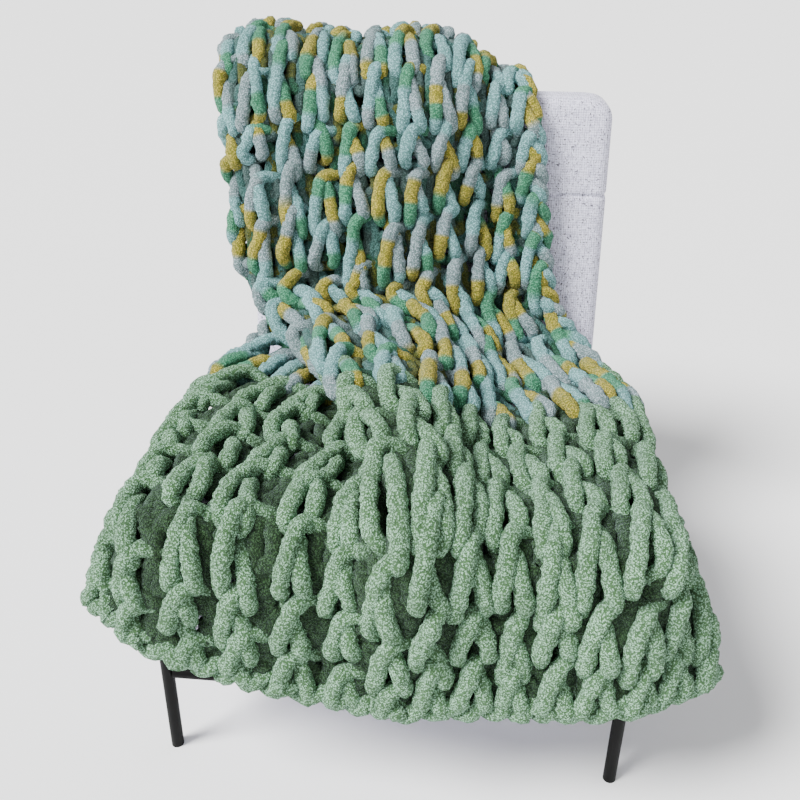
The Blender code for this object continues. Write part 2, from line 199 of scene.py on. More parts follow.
# the pile in shares of its roughness: single points, clumps of four and swells over a few rings,
# and how a strand closes at its last two rings
LUMP = 0.6
CLUMP = 1.5
SWELL = 0.6
SWELL_RINGS = 3
END_CLOSE = (0.30, 0.80)

# the face: half thickness of the sheet at full relief, the least relief, legs as a share of a wale,
# and where wales are so narrow that links sink
FULL_HALF = 0.0125
RELIEF_LEAST = 0.72
LEG_SHARE = 1.02
LEG_RANGE = (0.165, 0.235)
SLIMMER = ((0.55, 0.95), (1.0, 0.90))
NARROW = 0.066
NARROW_OVER = 0.012
NARROW_SINK = 0.7

# the layer behind: fewer and wider rings, its depth and radius from the sheet's half thickness, and
# what its radius gains near the front hem
BEHIND_STEP = 1.45
BEHIND_SIDES = 8
BEHIND_ABOVE = 0.0025
BEHIND_DEPTH = (0.004, 0.010)
BEHIND_SHARE = 0.92
BEHIND_RADIUS = (0.0095, 0.0125)
BEHIND_MORE = ((0.15, 0.40), (0.0070, 0.0))
# the shade value of the layer behind, which the yarn material turns into dark painted shade
BEHIND_PAINTED_SHADE = -1.2
BEHIND_SPREAD = 0.2
BEHIND_WAVE = 0.05

# the strands around the edge: how far in from hems and selvedges they lie, a turn's length, how
# far and how often it sways, the arm as a share of the radius and its stretch along the sheet, the
# ring step, and where the plain yarn ends
EDGE_HEM = 0.013
EDGE_SIDE = 0.22
EDGE_POINTS = (900, 1300)
EDGE_TURN = 0.069
EDGE_SWAY = 0.5
EDGE_SWAYS = 31.0
EDGE_ARM = 0.68
EDGE_FLAT = 1.15
EDGE_STEP = 1.15
EDGE_SLIMMER = ((0.6, 1.0), (1.0, 0.82))
EDGE_SAGE = 0.52

# how far apart the courses, the two layers and the edge start along the yarn's colours
COURSE_RUN = 7.3
BEHIND_RUN = 3.1
EDGE_RUN = 3.0

# light, camera and floor
SKY_STRENGTH = 0.66
SUN_ENERGY = 8.4
SUN_ANGLE = 24
SUN_TURN = (20, -38, 0)
LENS = 39.6
SENSOR = 36.0
CAMERA_AT = (0.0723, -1.2813, 1.056)
CAMERA_TURN = (4.696, 27.244, 0.827)
FLOOR_HALF = 40
FLOOR_POINTS = 41


def cubic(t, start, end, leave, come):
    """A cubic from start to end over t from 0 to 1, with its slopes at both ends."""
    return ((2 * t**3 - 3 * t**2 + 1) * start + (t**3 - 2 * t**2 + t) * leave
            + (3 * t**2 - 2 * t**3) * end + (t**3 - t**2) * come)


def spine_path(step=0.004):
    """Lengths and points (y, z) of the spine: straight runs joined by arcs of the rows' radii."""
    rows = np.array(SPINE_ROWS)
    corners = rows[:, :2]
    path = []
    here = corners[0]
    for before, at, after, radius in zip(corners, corners[1:], corners[2:], rows[1:, 2]):
        come = (at - before) / np.linalg.norm(at - before)
        leave = (after - at) / np.linalg.norm(after - at)
        bend = math.atan2(come[0] * leave[1] - come[1] * leave[0], float(come @ leave))
        reach = radius * math.tan(abs(bend) / 2)
        start = at - come * reach
        count = max(2, int(np.linalg.norm(start - here) / step))
        path.append(here + (start - here) * (np.arange(count) / count)[:, None])
        side = math.copysign(1.0, bend)
        middle = start + side * radius * np.array((-come[1], come[0]))
        count = max(3, int(radius * abs(bend) / step))
        turn = bend * np.arange(count) / count
        arm = start - middle
        path.append(middle + np.stack([arm[0] * np.cos(turn) - arm[1] * np.sin(turn),
                                       arm[0] * np.sin(turn) + arm[1] * np.cos(turn)], axis=1))
        here = at + leave * reach
    count = max(2, int(np.linalg.norm(corners[-1] - here) / step))
    path.append(here + (corners[-1] - here) * (np.arange(count + 1) / count)[:, None])
    path = np.concatenate(path)
    steps = np.linalg.norm(np.diff(path, axis=0), axis=1)
    return np.concatenate([[0.0], np.cumsum(steps)]), path


SPINE_AT, SPINE_PATH = spine_path()
LENGTH = float(SPINE_AT[-1])


def spine(s):
    """Points (y, z) of the spine at lengths s."""
    return np.stack([np.interp(s, SPINE_AT, SPINE_PATH[:, k]) for k in (0, 1)])


def outward(s, reach):
    """Unit normal (y, z) of the spine at lengths s, from its points a reach before and after."""
    way = spine(s + reach) - spine(s - reach)
    return np.stack([-way[1], way[0]]) / np.hypot(*way)


def stations(s):
    """The section table read at lengths s by a monotone cubic, as named columns."""
    table = np.array(SECTION_ROWS)
    at = table[:, 0]
    value = table[:, 1:]
    gap = np.diff(at)[:, None]
    rate = np.diff(value, axis=0) / gap
    heavy = 2 * gap[1:] + gap[:-1]
    light = gap[1:] + 2 * gap[:-1]
    slope = np.zeros_like(value)
    slope[0] = rate[0]
    slope[-1] = rate[-1]
    level = rate[:-1] * rate[1:] <= 0
    below = np.where(level, 1.0, rate[:-1])
    above = np.where(level, 1.0, rate[1:])
    slope[1:-1] = np.where(level, 0.0, (heavy + light) / (heavy / below + light / above))
    k = np.clip(np.searchsorted(at, s) - 1, 0, len(at) - 2)
    t = ((s - at[k]) / (at[k + 1] - at[k]))[:, None]
    width = (at[k + 1] - at[k])[:, None]
    read = cubic(t, value[k], value[k + 1], width * slope[k], width * slope[k + 1])
    return dict(zip(SECTION[1:], read.T))


def hanging(shoulder, length, bend, side, part):
    """The point at a share of a side strip: an arc of the bend radius, then straight."""
    arc = np.minimum(BEND_R * bend, length)
    along = part * length
    turn = np.minimum(along, arc) / BEND_R
    rest = np.maximum(along - arc, 0.0)
    x = shoulder + side * (BEND_R * np.sin(turn) + rest * np.cos(turn))
    return x, LIFT - BEND_R * (1.0 - np.cos(turn)) - rest * np.sin(turn)


def section_points(s):
    """Points (x, height) of the section from left to right, and the fold edge's place in them."""
    v = stations(s)
    bends = [np.radians(np.maximum(v[key], 0.01)) for key in ("left_bend", "right_bend")]
    turn = v["turn"]
    fold = v["fold"]
    crest = v["crest"]
    ease = np.maximum(TURN * v["rise"], TURN_LEAST)
    tuck = np.clip(0.45 * (turn - fold), -ease, ease)
    low = np.full_like(turn, LIFT)
    middle = low + v["rise"]
    top = low + 2 * v["rise"]
    points = [hanging(v["left"], v["left_len"], bends[0], -1, p) for p in (1.0, 0.75, 0.5, 0.25)]
    inner = turn - ease
    points += [(v["left"] + p * (inner - v["left"]), low) for p in (0.0, 0.35, 0.7, 1.0)]
    points += [(turn, (low + middle) / 2), (turn - tuck, middle), ((turn + fold) / 2, middle),
               (fold + tuck, middle), (fold, (middle + top) / 2)]
    edge = len(points) - 1
    points += [(fold + ease, top), ((fold + ease + crest) / 2, top), (crest, top),
               (crest + v["slope"] / 2, (low + top) / 2), (crest + v["slope"], low),
               ((crest + v["slope"] + v["right"]) / 2, low), (v["right"], low)]
    points += [hanging(v["right"], v["right_len"], bends[1], 1, p) for p in (0.25, 0.5, 0.75, 1.0)]
    return np.array(points), edge


def edge_wale(s):
    """The wale number on the fold edge at lengths s."""
    return np.interp(s, *np.array(EDGE_ROWS).T)


def section_grid(count=181, steps=6):
    """Sections read at even wale numbers: an array of (x, height) over wales and the spine.

    Each section is a cubic through its points by chord length. The wale number of a place on it is
    its share of the way to the fold edge, or from there to the right edge. The width of a wale on
    both sides of the fold edge comes with it.
    """
    at = np.linspace(0.0, LENGTH, count)
    points, edge = section_points(at)
    points = np.moveaxis(points, 1, 2)
    step = np.linalg.norm(np.diff(points, axis=0), axis=-1, keepdims=True) + 1e-6
    rate = np.diff(points, axis=0) / step
    share = step[1:] / (step[1:] + step[:-1])
    slope = np.concatenate([rate[:1], share * rate[:-1] + (1 - share) * rate[1:], rate[-1:]])
    t = (np.arange(steps) / steps)[None, :, None, None]
    leave, come = (step * slope[:-1])[:, None], (step * slope[1:])[:, None]
    curve = cubic(t, points[:-1, None], points[1:, None], leave, come)
    curve = np.concatenate([curve.reshape(-1, count, 2), points[-1:]])
    piece = np.linalg.norm(np.diff(curve, axis=0), axis=-1)
    run = np.concatenate([np.zeros((1, count)), np.cumsum(piece, axis=0)])
    split = run[edge * steps]
    fold = edge_wale(at)
    wale = np.where(run <= split, run / split * fold,
                    fold + (run - split) / (run[-1] - split) * (WALES - fold))
    even = np.linspace(0.0, WALES, WALES * WALE_STEPS + 1)
    grid = np.array([[np.interp(even, wale[:, k], curve[:, k, axis]) for axis in (0, 1)]
                     for k in range(count)])
    return at, np.moveaxis(grid, 1, 2), split / fold, (run[-1] - split) / (WALES - fold)


GRID_AT, GRID, LEFT_WIDTH, RIGHT_WIDTH = section_grid()


def wale_width(wale, s):
    """The width of a wale, which changes over one wale at the fold edge."""
    share = np.clip(wale - edge_wale(s) + 0.5, 0, 1)
    left, right = (np.interp(s, GRID_AT, width) for width in (LEFT_WIDTH, RIGHT_WIDTH))
    return left * (1 - share) + right * share


def lag(wale, along):
    """How far along the spine a selvedge's loops sit past those in the middle."""
    share = wale / WALES
    left = LAG["left"] * np.clip(1 - share / LAG["left_of"], 0, 1)**LAG_POWER
    more = LAG["right_more"] * np.clip(along / 0.5, 0, 1)
    right_share = np.clip((share - LAG["right_of"]) / (1 - LAG["right_of"]), 0, 1)
    right = (LAG["right"] + more) * right_share**LAG_POWER
    fade = 1.0 - np.clip((along - LAG["from"]) / LAG["over"], 0, 1)
    return (left + right) * fade * fade * (3 - 2 * fade)


def middle_surface(wale, along):
    """Points of the throw's middle surface at wale numbers and lengths from the front hem."""
    s = np.clip(along + lag(wale, along), 0.0, LENGTH)
    row = np.clip(s / GRID_AT[1], 0, len(GRID_AT) - 1.001)
    col = np.clip(wale * WALE_STEPS, 0, GRID.shape[1] - 1.001)
    r0, c0 = row.astype(int), col.astype(int)
    fr, fc = (row - r0)[:, None], (col - c0)[:, None]
    flat = ((GRID[r0, c0] * (1 - fc) + GRID[r0, c0 + 1] * fc) * (1 - fr)
            + (GRID[r0 + 1, c0] * (1 - fc) + GRID[r0 + 1, c0 + 1] * fc) * fr)
    x, height = flat.T
    above = np.maximum(height, 0.0) * outward(s, NEAR)
    below = np.minimum(height, 0.0) * outward(s, FAR)
    y, z = spine(s) + above + below
    return np.stack([x, y, z], axis=-1) + SHIFT


def unit(v):
    """Vectors scaled to length one."""
    return v / np.maximum(np.linalg.norm(v, axis=-1, keepdims=True), 1e-12)


def laid(wale, along):
    """Points and outward unit normals of the middle surface."""
    here = middle_surface(wale, along)
    across = middle_surface(wale + NEAR_WALE, along) - middle_surface(wale - NEAR_WALE, along)
    up = middle_surface(wale, along + NEAR_ALONG) - middle_surface(wale, along - NEAR_ALONG)
    return here, unit(np.cross(across, up))


def grid_faces(rows, cols, closed):
    """Quads of a grid of points, closed around its columns if asked."""
    across = cols if closed else cols - 1
    r, c = np.meshgrid(np.arange(rows - 1), np.arange(across), indexing="ij")
    n = (c + 1) % cols
    return np.stack([r * cols + c, r * cols + n, (r + 1) * cols + n, (r + 1) * cols + c],
                    axis=-1).reshape(-1, 4)


def make_object(name, points, quads, caps=(), values=None):
    """A smooth mesh object from an array of points, an array of quads and lists for its caps."""
    mesh = bpy.data.meshes.new(name)
    flat = quads.ravel()
    loops = np.concatenate([flat, *[np.asarray(cap) for cap in caps]]).astype(np.int32)
    sizes = np.concatenate([np.full(len(quads), 4), [len(cap) for cap in caps]]).astype(np.int32)
    starts = np.concatenate([[0], np.cumsum(sizes)[:-1]]).astype(np.int32)
    mesh.vertices.add(len(points))
    mesh.vertices.foreach_set("co", points.astype(np.float32).ravel())
    mesh.loops.add(len(loops))
    mesh.loops.foreach_set("vertex_index", loops)
    mesh.polygons.add(len(sizes))
    mesh.polygons.foreach_set("loop_start", starts)
    mesh.polygons.foreach_set("use_smooth", np.ones(len(sizes), dtype=bool))
    for key, value in (values or {}).items():
        layer = mesh.attributes.new(key, "FLOAT", "POINT")
        layer.data.foreach_set("value", np.asarray(value, dtype=np.float32))
    mesh.update(calc_edges=True)
    mesh.validate()
    made = bpy.data.objects.new(name, mesh)
    bpy.context.scene.collection.objects.link(made)
    return made


def resample(path, extras, step):
    """A path and its extra columns read again at even steps of its own length."""
    piece = np.linalg.norm(np.diff(path, axis=0), axis=1)
    run = np.concatenate([[0.0], np.cumsum(piece)])
    count = max(4, int(round(run[-1] / step)) + 1)
    at = np.linspace(0.0, run[-1], count)
    table = np.concatenate([path, extras], axis=1)
    read = np.stack([np.interp(at, run, column) for column in table.T], axis=1)
    return read[:, :3], read[:, 3:], at


def smoothed(table, reach=2):
    """Columns averaged over their neighbours with a triangle of weights."""
    weight = np.concatenate([np.arange(1, reach + 2), np.arange(reach, 0, -1)]).astype(float)
    weight /= weight.sum()
    padded = np.pad(table, ((reach, reach), (0, 0)), mode="edge")
    return sum(w * padded[k:k + len(table)] for k, w in enumerate(weight))


def tube(path, normal, radius, sides, rough, rng):
    """A round strand along a path with a lumpy pile; its rings start at the surface's normal."""
    way = unit(np.gradient(path, axis=0))
    side = unit(np.cross(way, normal))
    up = np.cross(side, way)
    odd = np.arange(len(path))[:, None] % 2
    turn = 2 * math.pi * (np.arange(sides)[None, :] + 0.5 * odd) / sides
    lump = rng.uniform(-1, 1, turn.shape)
    clump = (lump + np.roll(lump, 1, 0) + np.roll(lump, 1, 1) + np.roll(lump, (1, 1), (0, 1))) / 4
    knots = np.arange(len(path) // SWELL_RINGS + 3)
    swell = np.interp(np.arange(len(path)) / SWELL_RINGS, knots, rng.uniform(-1, 1, len(knots)))
    pile = LUMP * lump + CLUMP * clump + SWELL * swell[:, None]
    reach = radius[:, None] * (1.0 + rough * pile)
    ring = (path[:, None] + up[:, None] * (reach * np.cos(turn))[..., None]
            + side[:, None] * (reach * np.sin(turn))[..., None])
    return ring.reshape(-1, 3)


def strands(name, paths, sides, rough, seed):
    """One object of many strands; each is (path, normal, radius, values at its points)."""
    rng = np.random.default_rng(seed)
    points = []
    quads = []
    caps = []
    values = {}
    base = 0
    for path, normal, radius, facts in paths:
        count = len(path)
        close = np.ones(count)
        close[[0, -1]], close[[1, -2]] = END_CLOSE
        points.append(tube(path, normal, radius * close, sides, rough, rng))
        quads.append(grid_faces(count, sides, True)[:, ::-1] + base)
        caps.append(list(base + np.arange(sides)))
        caps.append(list(base + (count - 1) * sides + np.arange(sides))[::-1])
        for key, value in facts.items():
            values.setdefault(key, []).append(np.repeat(value, sides))
        base += count * sides
    joined = {key: np.concatenate(value) for key, value in values.items()}
    return make_object(name, np.concatenate(points), np.concatenate(quads), caps, joined)


def uneven(seed, rows, cols):
    """A table of seeded offsets from -1 to 1 for the loops to be read from."""
    return np.random.default_rng(seed).uniform(-1, 1, (rows, cols))


LOOSE = {key: uneven(SEED + k, COURSES + 1, 2 * WALES + 3)
         for k, key in enumerate(("along", "across", "swing", "height"))}
STAGGER = uneven(SEED + 9, 5, WALES + 2)


def stagger(course, u):
    """How far the loops of a wale sit past their neighbours, with a slow change over courses."""
    wale = np.clip(u, 0, WALES)
    k = wale.astype(int)
    t = np.clip((wale - k - 0.5) * STAGGER_STEEP + 0.5, 0, 1)
    t = t * t * (3 - 2 * t)
    row = min(4.0 * course / COURSES, 3.999)
    low, share = int(row), row - int(row)
    here = STAGGER[low] * (1 - share) + STAGGER[low + 1] * share
    shifted = np.concatenate([here[:1], here])
    return (shifted[k] + shifted[k + 1]) / 2 + (shifted[k + 1] - shifted[k]) * (t - 0.5)


def read_loose(key, course, u):
    """The unevenness of a course at wale numbers u, one value to each leg of a loop."""
    place = np.clip(2 * u + 0.5, 0, 2 * WALES + 1.99)
    k = place.astype(int)
    t = place - k
    t = t * t * (3 - 2 * t)
    row = LOOSE[key][course]
    return row[k] * (1 - t) + row[k + 1] * t


def loop_shape(u):
    """A course's strand at wale numbers u: the loop rows, read by a cubic that repeats itself."""
    rows = np.array(LOOP_ROWS)
    at, value = rows[:, 0], rows[:, 1:]
    before = np.concatenate([[at[-2] - 1], at[:-1]])
    after = np.concatenate([at[1:], [at[1] + 1]])
    step = np.array((1.0, 0.0, 0.0, 0.0))
    low = np.concatenate([[value[-2] - step], value[:-1]])
    high = np.concatenate([value[1:], [value[1] + step]])
    slope = (high - low) / (after - before)[:, None]
    turn = u - np.floor(u)
    k = np.clip(np.searchsorted(at, turn, side="right") - 1, 0, len(at) - 2)
    width = (at[k + 1] - at[k])[:, None]
    t = (turn - at[k])[:, None] / width
    read = cubic(t, value[k], value[k + 1], width * slope[k], width * slope[k + 1])
    place, side, along, height = read.T
    return np.floor(u) + place, side, along, height


def passed_at(courses):
    """Lengths along the throw at course numbers, smoothed over one course."""
    rows = np.array(PASSED_ROWS)
    return np.mean([np.interp(courses + shift, *rows.T) for shift in (-0.5, -0.25, 0.0, 0.25, 0.5)],
                   axis=0)


def course_path(course, sizes, behind):
    """The strand of one course, on the face or, half a wale and half a course further, behind it.

    A loop hangs from the links to its neighbours: the strand goes under itself near the top, down
    one leg, round its hidden end, up the other leg and over to the next loop. The layer behind is
    the same strand turned over, thinner and flatter.
    """
    u = np.linspace(0.0, WALES, WALES * LOOP_POINTS + 1)
    place, side, off, height = loop_shape(u)
    stray = {key: read_loose(key, course, u) for key in LOOSE}
    middle = course + 0.5 + (0.5 if behind else 0.0)
    rough = passed_at(np.full(len(u), float(middle)))
    s = np.clip(rough + lag(u, rough), 0.0, LENGTH)
    width = wale_width(u, s)
    half = np.minimum(stations(s)["half"], FULL_HALF)
    base = sizes.yarn_radius * np.interp(s, *SLIMMER)
    legs = np.clip(LEG_SHARE * base / width, *LEG_RANGE) * (1 + SPREAD_STRAY * stray["swing"])
    tight = np.clip((NARROW - width) / NARROW_OVER, 0, 1)
    across = place + side * legs + sizes.uneven * ACROSS_STRAY * stray["across"]
    if behind:
        across = across + 0.5 - BEHIND_SPREAD * side * legs
    deep = np.clip(-off, 0, 1) + 0.35
    off = off + sizes.uneven * (deep * ALONG_STRAY * stray["along"]
                                + STAGGER_STRAY * stagger(middle, u))
    across = np.clip(across, SIDE_IN, WALES - SIDE_IN)
    along = np.clip(passed_at(middle + off), HEM_IN, LENGTH - HEM_IN)
    point, normal = laid(across, along)
    if behind:
        depth = np.clip(half - BEHIND_ABOVE, *BEHIND_DEPTH)
        lift = -depth * (1.0 + BEHIND_WAVE * height)
        radius = np.clip(BEHIND_SHARE * half, *BEHIND_RADIUS) + np.interp(s, *BEHIND_MORE)
        # the layer behind gets the lowest shade value, which the yarn material turns into dark
        # painted shade
        shade = np.full(len(u), BEHIND_PAINTED_SHADE)
    else:
        relief = sizes.relief * np.clip(half / FULL_HALF, RELIEF_LEAST, 1.0)
        link = np.clip(np.abs(off) * 4 - 1, 0, 1) * np.clip(0.3 - height, 0, 1)
        sunk = height - NARROW_SINK * tight * link
        lift = relief * (sunk + HEIGHT_STRAY * stray["height"])
        radius = base * (0.92 + 0.08 * np.clip(height, -1, 1))
        # the loop's height as a shade value, which the yarn material turns into painted shade where
        # the strand dips low
        shade = np.clip(height, -1, 1)
    point = point + normal * lift[:, None]
    extras = np.column_stack([normal, radius, shade, u])
    step = sizes.ring_step * (BEHIND_STEP if behind else 1)
    path, extras, run = resample(smoothed(point, 3), extras, step)
    sage = (course + (extras[:, 5] > CHANGE_WALE) <= SAGE_COURSES).astype(float)
    # the lift attribute carries the shade value for the yarn material's painted shade
    return path, unit(extras[:, :3]), extras[:, 3], {"run": run, "lift": extras[:, 4], "sage": sage}


def courses_object(name, first, last, sizes, behind=False):
    """Several courses as one object."""
    paths = []
    for course in range(first, last):
        path, normal, radius, facts = course_path(course, sizes, behind)
        facts["run"] = facts["run"] + COURSE_RUN * course + (BEHIND_RUN if behind else 0.0)
        paths.append((path, normal, radius, facts))
    sides = BEHIND_SIDES if behind else sizes.sides
    return strands(name, paths, sides, sizes.pile, SEED + 2 + first)


def edge_path(sizes, phase):
    """One of two strands twisted together around the throw's edge.

    The edge runs a little inside the sheet. The strand turns about it once in a wale's width.
    """
    hem_points, side_points = EDGE_POINTS
    front, rear, left, right = EDGE_HEM, LENGTH - EDGE_HEM, EDGE_SIDE, WALES - EDGE_SIDE
    rise = np.linspace(front, rear, side_points)
    over = np.linspace(left, right, hem_points)
    wale = np.concatenate([over, np.full(side_points, right), over[::-1],
                           np.full(side_points, left)])
    along = np.concatenate([np.full(hem_points, front), rise, np.full(hem_points, rear),
                            rise[::-1]])
    point, normal = laid(wale, along)
    way = unit(np.gradient(point, axis=0))
    side = unit(np.cross(way, normal))
    piece = np.linalg.norm(np.diff(point, axis=0), axis=1)
    run = np.concatenate([[0.0], np.cumsum(piece)])
    turn = 2 * math.pi * run / EDGE_TURN + phase + EDGE_SWAY * np.sin(run * EDGE_SWAYS)
    slim = np.interp(along, *EDGE_SLIMMER)
    arm = EDGE_ARM * sizes.yarn_radius * slim
    point = (point + normal * (arm * np.sin(turn))[:, None]
             + side * (EDGE_FLAT * arm * np.cos(turn))[:, None])
    radius = sizes.yarn_radius * (0.90 + 0.10 * np.sin(turn)) * slim
    extras = np.column_stack([normal, radius, along])
    path, extras, run = resample(smoothed(point, 3), extras, sizes.ring_step * EDGE_STEP)
    # the edge strands' shade value is too high for the yarn material to paint shade on them
    facts = {"run": run + EDGE_RUN + phase, "lift": np.full(len(run), 0.2),
             "sage": (extras[:, 4] < EDGE_SAGE).astype(float)}
    return path, unit(extras[:, :3]), extras[:, 3], facts


def ring_rectangle(half_x, low_y, high_y, corner, straight=28, arc=9):
    """A rounded rectangle as rings of points: rows of sizes give one ring each.

    Each quarter is a straight run and an arc of the corner's radius, with even steps on each.
    """
    t = np.linspace(0, 1, straight, endpoint=False)
    rings = []
    for hx, ly, hy, c in zip(half_x, low_y, high_y, corner):
        cx, top, bottom = hx - c, hy - c, ly + c
        parts = []
        for quarter, (x, y) in enumerate(((cx, top), (-cx, top), (-cx, bottom), (cx, bottom))):
            turn = np.radians(90 * quarter + 90 * np.linspace(0, 1, arc))
            parts.append(np.stack([x + c * np.cos(turn), y + c * np.sin(turn)], axis=1))
            nx, ny = ((-cx, hy), (-hx, bottom), (cx, ly), (hx, top))[quarter]
            last = parts[-1][-1]
            run = t[1:, None]
            parts.append(last + (np.array((nx, ny)) - last) * run)
        rings.append(np.concatenate(parts))
    return np.array(rings)


def block(name, z, half_x, low_y, high_y, corner, lean=0.0, lean_from=0.0):
    """A padded block: level rounded rectangles, stacked, leaning back as they rise, and capped."""
    rings = ring_rectangle(half_x, low_y, high_y, corner)
    count, around = rings.shape[:2]
    level = np.repeat(z[:, None], around, axis=1)
    points = np.stack([rings[..., 0], rings[..., 1] + lean * (level - lean_from), level], axis=-1)
    points = points.reshape(-1, 3) + SHIFT
    quads = grid_faces(count, around, True)
    caps = [list(range(around))[::-1], list((count - 1) * around + np.arange(around))]
    return make_object(name, points, quads, caps)


class Value:
    """A shader socket on which Python's operators add Math nodes."""

    def __init__(self, tree, socket):
        self.tree = tree
        self.socket = socket

    def maths(self, operation, *others):
        """A Math node of this operation on this value and the others."""
        sockets = {k + 1: other for k, other in enumerate(others)}
        return self.tree.node("ShaderNodeMath", {"operation": operation}, {0: self, **sockets})

    def __add__(self, other):
        return self.maths("ADD", other)

    def __sub__(self, other):
        return self.maths("SUBTRACT", other)

    def __mul__(self, other):
        return self.maths("MULTIPLY", other)

    def __truediv__(self, other):
        return self.maths("DIVIDE", other)

    def __pow__(self, other):
        return self.maths("POWER", other)

    def __rsub__(self, other):
        return self.maths("MULTIPLY", -1.0).maths("ADD", other)

    def __rtruediv__(self, other):
        return self.maths("POWER", -1.0).maths("MULTIPLY", other)

    __radd__ = __add__
    __rmul__ = __mul__

    def between(self, low, high):
        """0 below low, 1 above high, smooth in between."""
        settings = {"interpolation_type": "SMOOTHSTEP"}
        return self.tree.node("ShaderNodeMapRange", settings, {0: self, 1: low, 2: high})


class Finish:
    """A procedural material: one Principled shader and the nodes that feed it."""

    def __init__(self, name, **constants):
        self.material = bpy.data.materials.new(name)
        self.material.use_nodes = True
        self.nodes = self.material.node_tree.nodes
        self.links = self.material.node_tree.links
        self.shader = self.nodes["Principled BSDF"]
        for key, value in constants.items():
            self.shader.inputs[key.replace("_", " ")].default_value = value

    def node(self, kind, settings=None, sockets=None, out=0):
        """A node of a type: its settings first, then the values or links of its sockets."""
        made = self.nodes.new(kind)
        for key, value in (settings or {}).items():
            if key == "stops":
                self.stops(made.color_ramp, value)
            else:
                setattr(made, key, value)
        for key, value in (sockets or {}).items():
            self.feed(made.inputs[key], value)
        return Value(self, made.outputs[out])

    def stops(self, ramp, stops):
        """Sets a ramp's stops from (place, colour) pairs."""
        while len(ramp.elements) < len(stops):
            ramp.elements.new(1.0)
        for element, (place, colour) in zip(ramp.elements, stops):
            element.position = place
            element.color = colour

    def feed(self, socket, value):
        """Links a value to a socket, or sets the socket to a number or colour."""
        if isinstance(value, Value):
            self.links.new(value.socket, socket)
        else:
            socket.default_value = value

    def attribute(self, name):
        """A value that the mesh carries."""
        return self.node("ShaderNodeAttribute", {"attribute_name": name}, out=2)

    def place(self):
        """Object coordinates."""
        return self.node("ShaderNodeTexCoord", out=3)

    def noise(self, scale, detail=2.0, vector=None, **settings):
        """Smooth noise of a scale, on Object coordinates unless told otherwise."""
        sockets = {"Vector": vector or self.place(), "Scale": scale, "Detail": detail}
        return self.node("ShaderNodeTexNoise", settings, sockets)

    def mix(self, share, one, other, blend="MIX"):
        """Two colours mixed by a share."""
        settings = {"data_type": "RGBA", "blend_type": blend}
        return self.node("ShaderNodeMix", settings, {0: share, 6: one, 7: other}, out=2)

    def bump(self, height, strength, distance, normal=None):
        """A bump from a height, on top of another normal if there is one."""
        sockets = {"Strength": strength, "Distance": distance, "Height": height}
        if normal is not None:
            sockets["Normal"] = normal
        return self.node("ShaderNodeBump", None, sockets)

    def shade(self, **sockets):
        """Feeds the Principled shader and returns the material."""
        for key, value in sockets.items():
            self.feed(self.shader.inputs[key.replace("_", " ")], value)
        return self.material


def rgba(colour, gain=1.0):
    """A colour property as four numbers, brightened by a gain."""
    return (*[min(1.0, c * gain) for c in colour[:3]], 1.0)


def yarn_finish(colours):
    """Chenille: colours along the strand, or sage, over a nubby pile with painted shade in the gaps
    between nubs and a faint painted highlight on the nubs; strands that dip low and the layer
    behind get painted shade too.
    """
    f = Finish("chenille_yarn", Roughness=0.95, Sheen_Weight=0.14, Sheen_Roughness=0.4,
               Sheen_Tint=(0.72, 0.95, 0.95, 1.0), Specular_IOR_Level=0.2)
    run = f.attribute("run")
    sage = f.attribute("sage")
    lift = f.attribute("lift")
    line = f.node("ShaderNodeCombineXYZ", None, {0: run, 1: 0.0, 2: 0.0})
    wander = f.noise(3.1, 1.0, vector=line)
    phase = (run / colours.repeat + wander * 1.6).maths("FRACT")
    blue, grey = rgba(colours.pale_blue), rgba(colours.grey)
    mustard, green = rgba(colours.mustard), rgba(colours.green)
    ramp = [(0.00, blue), (0.32, blue), (0.36, green), (0.50, green), (0.53, mustard),
            (0.70, mustard), (0.73, grey), (0.96, grey), (1.00, blue)]
    mixed = f.node("ShaderNodeValToRGB", {"stops": ramp}, {0: phase})
    place = f.place()
    shift = f.node("ShaderNodeTexNoise", None,
                   {"Vector": place, "Scale": 330.0, "Detail": 1.0}, out=1)
    bent = f.node("ShaderNodeVectorMath", {"operation": "MULTIPLY_ADD"},
                  {0: shift, 1: (0.003, 0.003, 0.003), 2: place})
    nub = f.node("ShaderNodeTexVoronoi", {"feature": "F1"}, {"Vector": bent, "Scale": 390.0})
    fine = f.noise(950.0, 2.0)
    broad = f.noise(18.0, 3.0)
    colour = f.mix(sage, mixed, rgba(colours.sage))
    # the pile's shade colour: painted shade for the gaps between nubs, the strands that dip low and
    # the layer behind
    root = f.mix(sage, rgba(colours.mixed_pile_shade), rgba(colours.pile_shade))
    tone = broad.between(0.30, 0.70)
    colour = f.mix(tone * 0.55, colour, f.mix(0.6, colour, root, "MULTIPLY"))
    # a faint painted highlight on the nub tops and painted shade in the gaps between them, their
    # border speckled by fine noise
    light = f.mix(0.06, colour, rgba(colours.pile_highlight))
    dark = f.mix(1.0, colour, root, "MULTIPLY")
    pile = nub * -0.9 + fine * 0.9 + 0.45
    colour = f.mix(pile.between(0.42, 0.62), dark, light)
    # painted shade: the strands that dip low and the whole layer behind are darkened by the pile's
    # shade colour, by the value in the lift attribute
    low = (lift * -0.5 + 0.5).between(0.40, 1.05)
    shaded = f.mix(1.0, colour, root, "MULTIPLY")
    colour = f.mix(low, colour, f.mix(0.45, shaded, root, "MULTIPLY"))
    normal = f.bump(pile, 1.0, 0.005)
    return f.shade(Base_Color=colour, Normal=normal)


